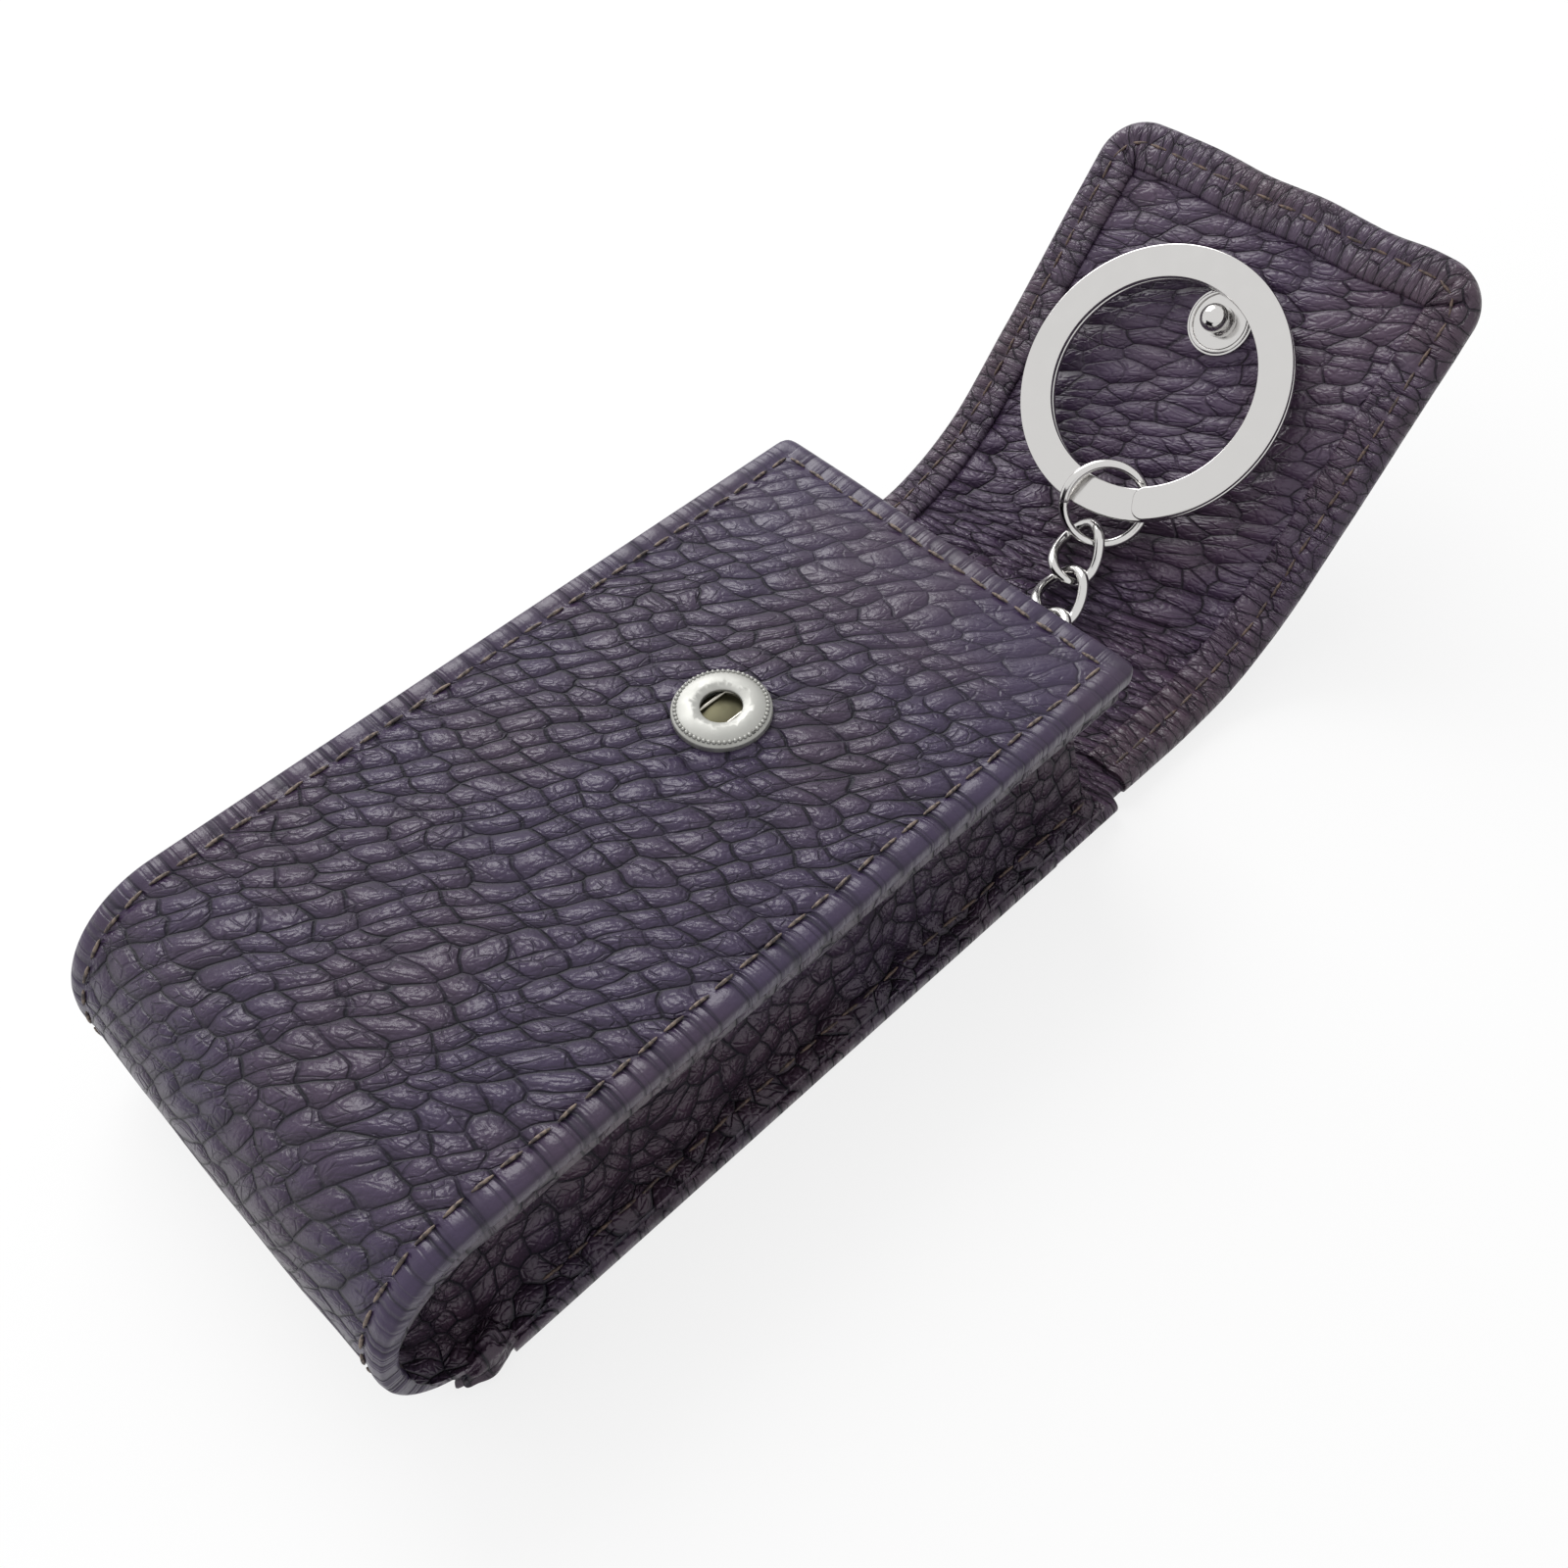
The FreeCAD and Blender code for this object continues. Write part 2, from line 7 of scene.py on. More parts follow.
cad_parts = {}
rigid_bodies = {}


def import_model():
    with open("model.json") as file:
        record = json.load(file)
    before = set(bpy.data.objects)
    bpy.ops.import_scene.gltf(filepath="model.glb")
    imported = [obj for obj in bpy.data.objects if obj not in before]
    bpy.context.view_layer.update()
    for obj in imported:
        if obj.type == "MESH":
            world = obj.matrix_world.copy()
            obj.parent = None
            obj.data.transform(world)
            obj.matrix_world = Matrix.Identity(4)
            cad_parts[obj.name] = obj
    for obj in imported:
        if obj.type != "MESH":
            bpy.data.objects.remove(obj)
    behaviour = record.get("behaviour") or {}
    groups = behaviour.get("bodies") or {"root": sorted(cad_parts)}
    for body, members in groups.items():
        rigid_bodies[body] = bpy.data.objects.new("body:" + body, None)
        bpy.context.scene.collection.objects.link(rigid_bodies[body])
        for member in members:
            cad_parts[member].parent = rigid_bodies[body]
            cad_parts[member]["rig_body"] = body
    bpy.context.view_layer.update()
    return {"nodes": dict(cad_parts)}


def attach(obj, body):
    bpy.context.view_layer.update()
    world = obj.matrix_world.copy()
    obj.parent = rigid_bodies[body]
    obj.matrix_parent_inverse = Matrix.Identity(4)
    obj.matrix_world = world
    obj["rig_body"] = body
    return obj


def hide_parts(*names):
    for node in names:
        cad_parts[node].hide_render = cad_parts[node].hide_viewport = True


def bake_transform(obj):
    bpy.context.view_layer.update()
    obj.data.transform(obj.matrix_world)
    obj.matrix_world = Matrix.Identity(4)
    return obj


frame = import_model()
mm = 0.001
rng = random.Random(41)
scene = bpy.context.scene
bpy.ops.object.select_all(action='DESELECT')
print('frame loaded,', len(frame['nodes']), 'CAD nodes')


# small node helpers for the materials
def newMaterial(name):
    mat = bpy.data.materials.new(name)
    mat.use_nodes = True
    tree = mat.node_tree
    tree.nodes.clear()
    out = tree.nodes.new('ShaderNodeOutputMaterial')
    shader = tree.nodes.new('ShaderNodeBsdfPrincipled')
    tree.links.new(shader.outputs['BSDF'], out.inputs['Surface'])
    return mat, tree, shader


def addNode(tree, kind, **values):
    node = tree.nodes.new(kind)
    for key, value in values.items():
        if key in node.inputs:
            node.inputs[key].default_value = value
        else:
            setattr(node, key, value)
    return node


def mathNode(tree, operation, first, second):
    node = tree.nodes.new('ShaderNodeMath')
    node.operation = operation
    for index, value in enumerate((first, second)):
        if isinstance(value, (int, float)):
            node.inputs[index].default_value = value
        else:
            tree.links.new(value, node.inputs[index])
    return node.outputs[0]


def ramp(tree, source, low, high, newLow=0.0, newHigh=1.0):
    node = tree.nodes.new('ShaderNodeMapRange')
    node.interpolation_type = 'SMOOTHSTEP'
    node.inputs['From Min'].default_value = low
    node.inputs['From Max'].default_value = high
    node.inputs['To Min'].default_value = newLow
    node.inputs['To Max'].default_value = newHigh
    tree.links.new(source, node.inputs['Value'])
    return node.outputs['Result']


def mixColor(tree, factor, first, second):
    node = tree.nodes.new('ShaderNodeMix')
    node.data_type = 'RGBA'
    tree.links.new(factor, node.inputs['Factor'])
    for socket, value in ((node.inputs[6], first), (node.inputs[7], second)):
        if isinstance(value, tuple):
            socket.default_value = value
        else:
            tree.links.new(value, socket)
    return node.outputs[2]


# numbers that all the leathers share
pebble = {'pillowFall': 1.8, 'fadeScale': 330.0, 'lesserCells': 1.9, 'lesserWidth': 0.11, 'partScale': 410.0,
          'wrinkleWidth': 0.3, 'patchScale': 60.0, 'poreScale': 3000.0, 'pores': 0.07, 'duller': 0.16}


# pebbled leather on the piece's own grain attribute, whose third value says how strong the grain is, with
# painted shade in its creases
def leatherMaterial(name, look):
    mat, tree, shader = newMaterial(name)
    link = tree.links.new
    coords = addNode(tree, 'ShaderNodeTexCoord')
    laid = addNode(tree, 'ShaderNodeAttribute', attribute_name='grain')
    axes = addNode(tree, 'ShaderNodeSeparateXYZ')
    link(laid.outputs['Vector'], axes.inputs['Vector'])
    strength = mathNode(tree, 'MULTIPLY', axes.outputs['Z'], 1000.0)
    turned = addNode(tree, 'ShaderNodeMapping', Rotation=(0, 0, look['turn']),
                     Scale=look['squeeze'])
    link(laid.outputs['Vector'], turned.inputs['Vector'])
    warp = addNode(tree, 'ShaderNodeTexNoise', noise_dimensions='2D', Scale=look['warpScale'],
                   Detail=2.0)
    link(turned.outputs['Vector'], warp.inputs['Vector'])
    centred = addNode(tree, 'ShaderNodeVectorMath', operation='SUBTRACT')
    centred.inputs[1].default_value = (0.5, 0.5, 0.5)
    link(warp.outputs['Color'], centred.inputs[0])
    sized = addNode(tree, 'ShaderNodeVectorMath', operation='SCALE', Scale=look['warp'])
    link(centred.outputs['Vector'], sized.inputs['Vector'])
    moved = addNode(tree, 'ShaderNodeVectorMath', operation='ADD')
    link(turned.outputs['Vector'], moved.inputs[0])
    link(sized.outputs['Vector'], moved.inputs[1])

    def cellular(feature, scale, randomness):
        node = addNode(tree, 'ShaderNodeTexVoronoi', feature=feature, voronoi_dimensions='2D',
                       Scale=scale, Randomness=randomness)
        link(moved.outputs['Vector'], node.inputs['Vector'])
        return node.outputs['Distance']

    def cloudy(scale, source):
        node = addNode(tree, 'ShaderNodeTexNoise', Scale=scale, Detail=2.0)
        link(source, node.inputs['Vector'])
        return node.outputs['Fac']

    # round pillows with a cut between them, and fainter cuts across the larger ones
    reach = cellular('F1', look['cells'], look['random'])
    fall = mathNode(tree, 'MULTIPLY', mathNode(tree, 'POWER', reach, 2.0), pebble['pillowFall'])
    pillow = mathNode(tree, 'SUBTRACT', 1.0, fall)
    edge = cellular('DISTANCE_TO_EDGE', look['cells'], look['random'])
    present = ramp(tree, cloudy(pebble['fadeScale'], moved.outputs['Vector']), 0.36, 0.58, 0.35, 1.0)
    cut = mathNode(tree, 'MULTIPLY', ramp(tree, edge, 0.0, look['creaseWidth'], 1.0, 0.0), present)
    lesser = cellular('DISTANCE_TO_EDGE', look['cells'] * pebble['lesserCells'], 1.0)
    partly = ramp(tree, cloudy(pebble['partScale'], moved.outputs['Vector']), 0.42, 0.6)
    nick = mathNode(tree, 'MULTIPLY', ramp(tree, lesser, 0.0, pebble['lesserWidth'], 1.0, 0.0), partly)
    wrinkle = cellular('DISTANCE_TO_EDGE', look['wrinkles'], 1.0)
    wrinkle = ramp(tree, wrinkle, 0.0, pebble['wrinkleWidth'])
    calmer = ramp(tree, edge, 0.05, 0.4, look['fine'], look['fine'] * 0.45)
    wrinkle = mathNode(tree, 'MULTIPLY', wrinkle, calmer)
    patch = cloudy(pebble['patchScale'], coords.outputs['Object'])
    height = mathNode(tree, 'SUBTRACT', pillow, mathNode(tree, 'MULTIPLY', cut, look['cut']))
    height = mathNode(tree, 'SUBTRACT', height, mathNode(tree, 'MULTIPLY', nick, look['nick']))
    height = mathNode(tree, 'ADD', height, wrinkle)
    pores = mathNode(tree, 'MULTIPLY', cloudy(pebble['poreScale'], coords.outputs['Object']), pebble['pores'])
    height = mathNode(tree, 'ADD', height, pores)
    bump = addNode(tree, 'ShaderNodeBump', Distance=look['depth'])
    link(height, bump.inputs['Height'])
    link(strength, bump.inputs['Strength'])
    link(bump.outputs['Normal'], shader.inputs['Normal'])
    body = mixColor(tree, ramp(tree, patch, 0.35, 0.65), look['base'], look['warm'])
    # painted shade: the colour darkens in the cuts, in the fainter nicks and towards each pillow's edge,
    # where the bumps would shade the leather, and less where the grain is calm
    paintedShade = mathNode(tree, 'MAXIMUM', cut, mathNode(tree, 'MULTIPLY', nick, 0.5))
    paintedShade = mathNode(tree, 'ADD', mathNode(tree, 'MULTIPLY', paintedShade, 0.9),
                    ramp(tree, pillow, 0.3, 0.95, 0.3, 0.0))
    paintedShade = mathNode(tree, 'MULTIPLY', paintedShade, ramp(tree, strength, 0.0, 1.0, 0.35, 1.0))
    paintedShade = mathNode(tree, 'MINIMUM', paintedShade, 1.0)
    link(mixColor(tree, paintedShade, body, look['creaseShade']), shader.inputs['Base Color'])
    dull = look['gloss'] + pebble['duller']
    link(ramp(tree, paintedShade, 0.0, 0.7, look['gloss'], dull), shader.inputs['Roughness'])
    shader.inputs['Specular IOR Level'].default_value = look['specular']
    return mat


# creaseShade is the painted shade colour laid into the creases and the pillows' edges
frontLook = {'turn': 0.0, 'squeeze': (1.14, 0.94, 1.0), 'warpScale': 90.0, 'warp': 0.0048,
             'cells': 305.0, 'random': 0.42, 'creaseWidth': 0.07, 'cut': 0.36, 'nick': 0.14,
             'wrinkles': 1000.0, 'fine': 0.07, 'depth': 0.0012, 'gloss': 0.33, 'specular': 0.42,
             'base': (0.038, 0.024, 0.062, 1), 'warm': (0.043, 0.025, 0.054, 1),
             'creaseShade': (0.004, 0.002, 0.012, 1)}
flapLook = dict(frontLook, cells=430.0, squeeze=(0.5, 1.1, 1.0), wrinkles=1300.0, fine=0.12, turn=0.1,
                random=0.75, creaseWidth=0.06, depth=0.0011, base=(0.06, 0.037, 0.076, 1),
                warm=(0.067, 0.039, 0.07, 1), creaseShade=(0.008, 0.003, 0.012, 1))
hemLook = dict(flapLook, cells=600.0, squeeze=(1.15, 0.85, 1.0), wrinkles=1900.0, fine=0.16,
               depth=0.0005, base=(0.058, 0.036, 0.068, 1), warm=(0.067, 0.04, 0.06, 1))
sideLook = dict(frontLook, cells=370.0, squeeze=(1.0, 1.0, 1.0), wrinkles=1200.0, fine=0.12,
                random=0.8, base=(0.052, 0.033, 0.064, 1), warm=(0.058, 0.033, 0.055, 1))
frontLeather = leatherMaterial('frontLeather', frontLook)
flapLeather = leatherMaterial('flapLeather', flapLook)
hemLeather = leatherMaterial('hemLeather', hemLook)
sideLeather = leatherMaterial('sideLeather', sideLook)


# plain lining cloth inside the pocket
def liningMaterial():
    mat, tree, shader = newMaterial('liningCloth')
    coords = addNode(tree, 'ShaderNodeTexCoord')
    weave = addNode(tree, 'ShaderNodeTexNoise', Scale=2600.0, Detail=2.0)
    tree.links.new(coords.outputs['Object'], weave.inputs['Vector'])
    bump = addNode(tree, 'ShaderNodeBump', Strength=0.4, Distance=0.0001)
    tree.links.new(weave.outputs['Fac'], bump.inputs['Height'])
    tree.links.new(bump.outputs['Normal'], shader.inputs['Normal'])
    shader.inputs['Base Color'].default_value = (0.035, 0.026, 0.03, 1)
    shader.inputs['Roughness'].default_value = 0.85
    return mat


# nickel, a little hazy in patches
def nickelMaterial(name, tint, gloss):
    mat, tree, shader = newMaterial(name)
    coords = addNode(tree, 'ShaderNodeTexCoord')
    haze = addNode(tree, 'ShaderNodeTexNoise', Scale=420.0, Detail=4.0)
    tree.links.new(coords.outputs['Object'], haze.inputs['Vector'])
    rough = ramp(tree, haze.outputs['Fac'], 0.35, 0.7, gloss, gloss + 0.09)
    tree.links.new(rough, shader.inputs['Roughness'])
    bump = addNode(tree, 'ShaderNodeBump', Strength=0.05, Distance=0.0001)
    tree.links.new(haze.outputs['Fac'], bump.inputs['Height'])
    tree.links.new(bump.outputs['Normal'], shader.inputs['Normal'])
    shader.inputs['Base Color'].default_value = tint
    shader.inputs['Metallic'].default_value = 1.0
    return mat


# waxed brown thread
def threadMaterial(name, low, high):
    mat, tree, shader = newMaterial(name)
    coords = addNode(tree, 'ShaderNodeTexCoord')
    ply = addNode(tree, 'ShaderNodeTexNoise', Scale=1900.0, Detail=2.0)
    tree.links.new(coords.outputs['Object'], ply.inputs['Vector'])
    color = mixColor(tree, ramp(tree, ply.outputs['Fac'], 0.35, 0.65), low, high)
    tree.links.new(color, shader.inputs['Base Color'])
    shader.inputs['Roughness'].default_value = 0.6
    return mat


liningCloth = liningMaterial()
nickel = nickelMaterial('brightNickel', (0.63, 0.62, 0.61, 1), 0.1)
springSteel = nickelMaterial('springSteel', (0.45, 0.43, 0.38, 1), 0.22)
satinNickel = nickelMaterial('satinNickel', (0.38, 0.38, 0.36, 1), 0.52)
# the well's olive metal tone, darkened to near black with painted shade of the deep hole
shadedWellNickel = nickelMaterial('shadedWellNickel', (0.085, 0.08, 0.05, 1), 0.4)
frontThread = threadMaterial('frontThread', (0.045, 0.034, 0.033, 1), (0.23, 0.175, 0.14, 1))
hemThread = threadMaterial('hemThread', (0.035, 0.023, 0.023, 1), (0.14, 0.092, 0.07, 1))
print('materials made')


# up to which angle, in degrees, neighbouring faces are shaded as one
smooth = {'leather': 50.0, 'thread': 80.0, 'bead': 80.0, 'metal': 38.0, 'lump': 60.0}


# a run of closed rings becomes one closed skin, with its grain laid along it
def sweep(name, rings, material, grains):
    count = len(rings[0])
    points = [point for ring in rings for point in ring]
    faces = []
    for step in range(len(rings) - 1):
        for index in range(count):
            after = (index + 1) % count
            faces.append((step * count + index, step * count + after,
                          (step + 1) * count + after, (step + 1) * count + index))
    faces.append(tuple(reversed(range(count))))
    faces.append(tuple((len(rings) - 1) * count + index for index in range(count)))
    mesh = bpy.data.meshes.new(name)
    mesh.from_pydata(points, [], faces)
    layGrain(mesh, grains)
    piece = bpy.data.objects.new(name, mesh)
    scene.collection.objects.link(piece)
    return finishPiece(piece, material)


def layGrain(mesh, grains):
    layer = mesh.attributes.new('grain', 'FLOAT_VECTOR', 'POINT')
    layer.data.foreach_set('vector', [value * mm for grain in grains for value in grain])


def finishPiece(piece, material, angle=smooth['leather']):
    bpy.ops.object.select_all(action='DESELECT')
    bpy.context.view_layer.objects.active = piece
    piece.select_set(True)
    bpy.ops.object.mode_set(mode='EDIT')
    bpy.ops.mesh.select_all(action='SELECT')
    bpy.ops.mesh.normals_make_consistent(inside=False)
    bpy.ops.object.mode_set(mode='OBJECT')
    bpy.ops.object.shade_smooth_by_angle(angle=math.radians(angle))
    piece.data.materials.clear()
    piece.data.materials.append(material)
    return piece


# a leather band of even thickness with rounded rims, laid along a path
def band(name, place, runs, half, low, high, across, material, roundStart=False, roundEnd=False,
         relief=None, laid=None, square=1.0):
    middle = (low + high) / 2
    radius = (high - low) / 2
    turns = [math.radians(turn) for turn in (75, 60, 45, 30, 15, 0, -15, -30, -45, -60, -75)]
    rim = [(math.cos(turn) ** square, math.copysign(abs(math.sin(turn)) ** square, turn))
           for turn in turns]
    rings, grains = [], []
    for run in runs:
        swell = 1.0
        for wanted, reach in ((roundStart, run - runs[0]), (roundEnd, runs[-1] - run)):
            if wanted and reach < radius:
                swell = min(swell, math.sqrt(max(0.003, 1 - ((radius - reach) / radius) ** 2)))
        width = half(run) - radius
        sides = [width * (2 * index / across - 1) for index in range(across + 1)]
        spots = [(side, radius * swell + (relief(side, run) if relief else 0.0)) for side in sides]
        spots += [(width + radius * out, radius * swell * rise) for out, rise in rim]
        spots += [(side, -radius * swell) for side in reversed(sides)]
        spots += [(-width - radius * out, -radius * swell * rise) for out, rise in rim]
        rings.append([place(side, run, middle + height) for side, height in spots])
        grains += [laid(side, run) if laid else (side, run, 1.0) for side, height in spots]
    return sweep(name, rings, material, grains)


def spaced(start, end, step):
    count = max(1, round(abs(end - start) / step))
    return [start + (end - start) * index / count for index in range(count + 1)]


def roundedRuns(start, end, step, radius, atStart, atEnd):
    ease = [radius * (1 - math.cos(math.radians(turn))) for turn in (0, 15, 30, 45, 60, 75)]
    runs = [start + value for value in ease] if atStart else []
    first = start + radius if atStart else start
    last = end - radius if atEnd else end
    runs += spaced(first, last, step)
    if atEnd:
        runs += [end - value for value in reversed(ease)]
    return runs


def easy(share):
    share = min(1.0, max(0.0, share))
    return share * share * (3 - 2 * share)


def soft(x, y, z, size, amount):
    return amount * noise.noise(Vector((x / size, y / size, z / size)))


# front panel: over the front and round the bottom to the back seam
front = {'half': 27.5, 'lip': 2.15, 'leather': 1.2, 'lining': 1.0, 'flat': 90.5, 'upper': 13.5,
         'lower': 11.5, 'mouth': 52.0, 'top': 25.0, 'corner': 2.0, 'row': 3.0, 'lean': 0.55,
         'upperY': -38.5, 'lowerY': -40.5, 'turnZ': 11.5, 'sewnTo': 121.4, 'innerHalf': 26.7,
         'roll': 0.14, 'groove': 0.2, 'puff': 0.25, 'lumps': 0.18, 'fadeFrom': 120}
frontEnd = front['flat'] + (front['upper'] + front['lower']) * math.pi / 2


def frontPoint(side, run, height):
    past = run - front['flat']
    if past <= 0:
        y, z = front['mouth'] - run, front['top'] + height
    elif past <= front['upper'] * math.pi / 2:
        turn = past / front['upper']
        reach = front['upper'] + height
        y, z = front['upperY'] - reach * math.sin(turn), front['turnZ'] + reach * math.cos(turn)
    else:
        turn = past / front['lower'] - front['upper'] / front['lower'] * math.pi / 2
        reach = front['lower'] + height
        y, z = front['lowerY'] - reach * math.cos(turn), front['turnZ'] - reach * math.sin(turn)
    return Vector((side * mm, y * mm, z * mm))


def edgeRelief(depth):
    roll = front['roll'] * math.exp(-((depth - 1.4) / 0.8) ** 2)
    return roll - front['groove'] * math.exp(-((depth - front['row']) / 0.5) ** 2)


def frontRelief(side, run):
    depth = min(front['half'] - abs(side), run) if run < 20 else front['half'] - abs(side)
    puff = front['puff'] * min(1.0, max(0.0, depth - 3) / 10)
    fade = 1.0
    if run >= front['fadeFrom']:
        fade = max(0.0, (frontEnd - run) / (frontEnd - front['fadeFrom']))
    return (edgeRelief(depth) + puff + soft(side, run, 3, 11.0, front['lumps'])) * fade


def frontHalf(run):
    if run < front['corner']:
        rise = math.sqrt(front['corner'] ** 2 - (front['corner'] - run) ** 2)
        return front['half'] - front['corner'] + rise
    return front['half']


# creases run across and on the slant; outside the stitches they go straight over the rolled border
def frontGrain(side, run):
    row = front['half'] - front['row'] + 0.3
    depth = min(front['half'] - abs(side), run)
    border = 0.55 + 0.45 * easy((depth - 1.8) / 1.4)
    across, along = max(-row, min(row, side)), max(front['row'] - 0.3, run)
    strength = border * (0.4 + 0.6 * easy((run - 3) / 28))
    return across + front['lean'] * along, along, strength


frontRuns = roundedRuns(0.0, frontEnd, 0.6, 1.07, True, False)
frontSkin = band('front_skin', frontPoint, frontRuns, frontHalf, -front['lip'], 0.0, 92, frontLeather,
                 roundStart=True, relief=frontRelief, laid=frontGrain, square=0.5)
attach(frontSkin, 'case')
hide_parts('front_panel')
innerRuns = roundedRuns(0.8, frontEnd, 1.5, 0.5, True, False)
frontInner = band('front_inner', frontPoint, innerRuns, lambda run: front['innerHalf'],
                  -front['leather'] - front['lining'], -front['leather'], 20, liningCloth, roundStart=True)
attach(frontInner, 'case')
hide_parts('front_lining')
print('front panel laid')


# flap path: flat run at the mouth, a bend, then straight to the tip
flap = {'half': 27.5, 'backHalf': 29.0, 'thick': 2.2, 'flat': 12.6, 'bend': 31.74,
        'angle': math.radians(48.2), 'straight': 39.7, 'corner': 6.0, 'mouth': 52.0, 'skinStart': 10.0,
        'hemStart': 2.0, 'sewnFrom': 3.0, 'row': 2.5, 'lean': 0.32}
flapLength = flap['flat'] + flap['bend'] * flap['angle'] + flap['straight']
cornerRun = flapLength - flap['corner']


def flapPoint(side, run, height):
    bendY, bendZ = flap['mouth'] + flap['flat'], flap['bend'] + flap['thick'] / 2
    inner = flap['bend'] - flap['thick'] / 2 - height
    if run <= flap['flat']:
        y, z = flap['mouth'] + run, flap['thick'] + height
    elif run <= flap['flat'] + flap['bend'] * flap['angle']:
        turn = (run - flap['flat']) / flap['bend']
        y, z = bendY + inner * math.sin(turn), bendZ - inner * math.cos(turn)
    else:
        past = run - flap['flat'] - flap['bend'] * flap['angle']
        turn = flap['angle']
        y = bendY + inner * math.sin(turn) + past * math.cos(turn)
        z = bendZ - inner * math.cos(turn) + past * math.sin(turn)
    return Vector((side * mm, y * mm, z * mm))


def flapHalf(run):
    if run > cornerRun:
        drop = min(1.0, (run - cornerRun) / flap['corner'])
        rise = flap['corner'] * math.sqrt(max(0.0, 1 - drop * drop))
        return flap['half'] - flap['corner'] + rise
    return flap['half']


def mouthHalf(run):
    return flap['backHalf'] + (flap['half'] - flap['backHalf']) * easy((run + 0.9) / 0.8)


def flapRelief(side, run):
    return soft(side, run, 9, 8.0, 0.12)


# tighter, bolder grain where the flap curves up, calmer towards the tip
def flapGrain(side, run):
    along = run + 0.45 * min(run, 26.0) - flap['lean'] * side
    return side, along, 1.0 - 0.3 * easy((run - 24) / 20)


tipRuns = [cornerRun + flap['corner'] * math.sin(math.radians(turn)) for turn in range(4, 91, 4)]
flapRuns = spaced(flap['skinStart'], cornerRun, 0.8)
flapRuns += [run for run in tipRuns if run < flapLength - 0.02] + [flapLength]
flapSkin = band('flap_skin', flapPoint, flapRuns, flapHalf, -flap['thick'], 0.0, 66, flapLeather,
                roundEnd=True, relief=flapRelief, laid=flapGrain)
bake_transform(flapSkin)
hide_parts('flap_root_outer', 'flap_root_lining', 'flap_tongue_outer', 'flap_tongue_lining')
foldRuns = spaced(-12.0, -1.5, 1.0) + spaced(-1.4, 0.2, 0.1) + spaced(0.8, flap['skinStart'], 0.8)
foldSkin = band('fold_skin', flapPoint, foldRuns, mouthHalf, -flap['thick'], 0.0, 66, flapLeather,
                laid=flapGrain)
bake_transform(foldSkin)
print('flap laid')


# turned hem: wraps the flap's edge and lies on its inner face, pleated at the two corners
hem = {'profile': [(0.25, -1.9), (-0.2, -1.6), (-0.32, -1.0), (-0.25, -0.4), (0.05, 0.15), (0.45, 0.45),
                   (1.0, 0.62), (1.6, 0.66), (2.1, 0.56), (2.5, 0.4), (2.9, 0.56), (3.4, 0.66),
                   (4.3, 0.66), (5.1, 0.62), (5.6, 0.5), (5.85, 0.3), (5.92, 0.0), (5.85, -0.35),
                   (3.0, -0.45), (0.9, -0.6)],
       'pleats': 5, 'pleatDepth': 0.75, 'draw': 0.55, 'waver': 0.45, 'sewnTurns': (0.78, 1.57),
       'rows': {'hem_stitches_inner': 0.38, 'hem_stitches_outer': -1.95}}


def hemStations():
    stations = []
    middle = flap['half'] - flap['corner']
    stations += [(-1, run, None) for run in spaced(flap['hemStart'], cornerRun, 0.9)]
    stations += [(-1, None, math.radians(turn)) for turn in range(3, 90, 3)]
    stations += [(0, side, None) for side in spaced(-middle, middle, 0.9)]
    stations += [(1, None, math.radians(turn)) for turn in range(87, 0, -3)]
    stations += [(1, run, None) for run in spaced(cornerRun, flap['hemStart'], 0.9)]
    return stations


def hemSpot(station, depth):
    hand, where, turn = station
    if turn is not None:
        reach = max(flap['corner'] - depth, 0.15)
        middle = flap['half'] - flap['corner']
        return hand * (middle + reach * math.cos(turn)), cornerRun + reach * math.sin(turn)
    if hand:
        return hand * (flap['half'] - depth), where
    return where, flapLength - depth


hemRings, hemGrains = [], []
hemAlong = 0.0
lastSpot = None
for station in hemStations():
    hand, turn = station[0], station[2]
    ring = []
    spot = Vector(hemSpot(station, flap['row']))
    hemAlong += (spot - lastSpot).length if lastSpot else 0.0
    lastSpot = spot
    for depth, height in hem['profile']:
        side, run = hemSpot(station, depth)
        lift = soft(side, run, 5, 5.0, 0.16)
        if turn is not None and height > -0.3:
            fold = abs(math.sin(turn * hem['pleats'] + 0.4)) ** 0.6 - 0.7
            inward = min(1.0, max(0.0, depth + 0.3) / 2)
            lift += hem['pleatDepth'] * fold * math.sin(2 * turn) * inward
        if hand == 0 or turn is not None:
            run += soft(side, 0, 2, 9.0, hem['waver'])
        ring.append(flapPoint(side, run, height + lift))
        hemGrains.append((hemAlong, (depth + height) * hem['draw'], 1.0))
    hemRings.append(ring)
hemSkin = sweep('hem_skin', hemRings, hemLeather, hemGrains)
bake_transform(hemSkin)
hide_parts('root_hem_left', 'root_hem_right', 'flap_tongue_hem')
print('hem turned')


# back panel and its lining, up to the strip that folds at the mouth
def backPoint(side, run, height):
    return Vector((side * mm, run * mm, height * mm))


back = {'seam': -40.5, 'end': 40.0, 'half': 29.0, 'edge': 2.05, 'leather': 1.1, 'lining': 1.1, 'inner': 26.2,
        'row': 26.4, 'sewnFrom': -35.0, 'sewnTo': 48.0, 'sewnAt': 3.2}
backRuns = spaced(back['seam'], back['end'], 1.0)
backSkin = band('back_skin', backPoint, backRuns, lambda run: back['half'], 0.0, back['edge'], 40,
                sideLeather, square=0.6)
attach(backSkin, 'case')
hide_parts('back_panel')
liningRuns = spaced(back['seam'], back['end'], 1.5)
backInner = band('back_inner', backPoint, liningRuns, lambda run: back['inner'], back['leather'],
                 back['leather'] + back['lining'], 20, liningCloth)
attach(backInner, 'case')
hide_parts('back_lining')
print('back panel laid')


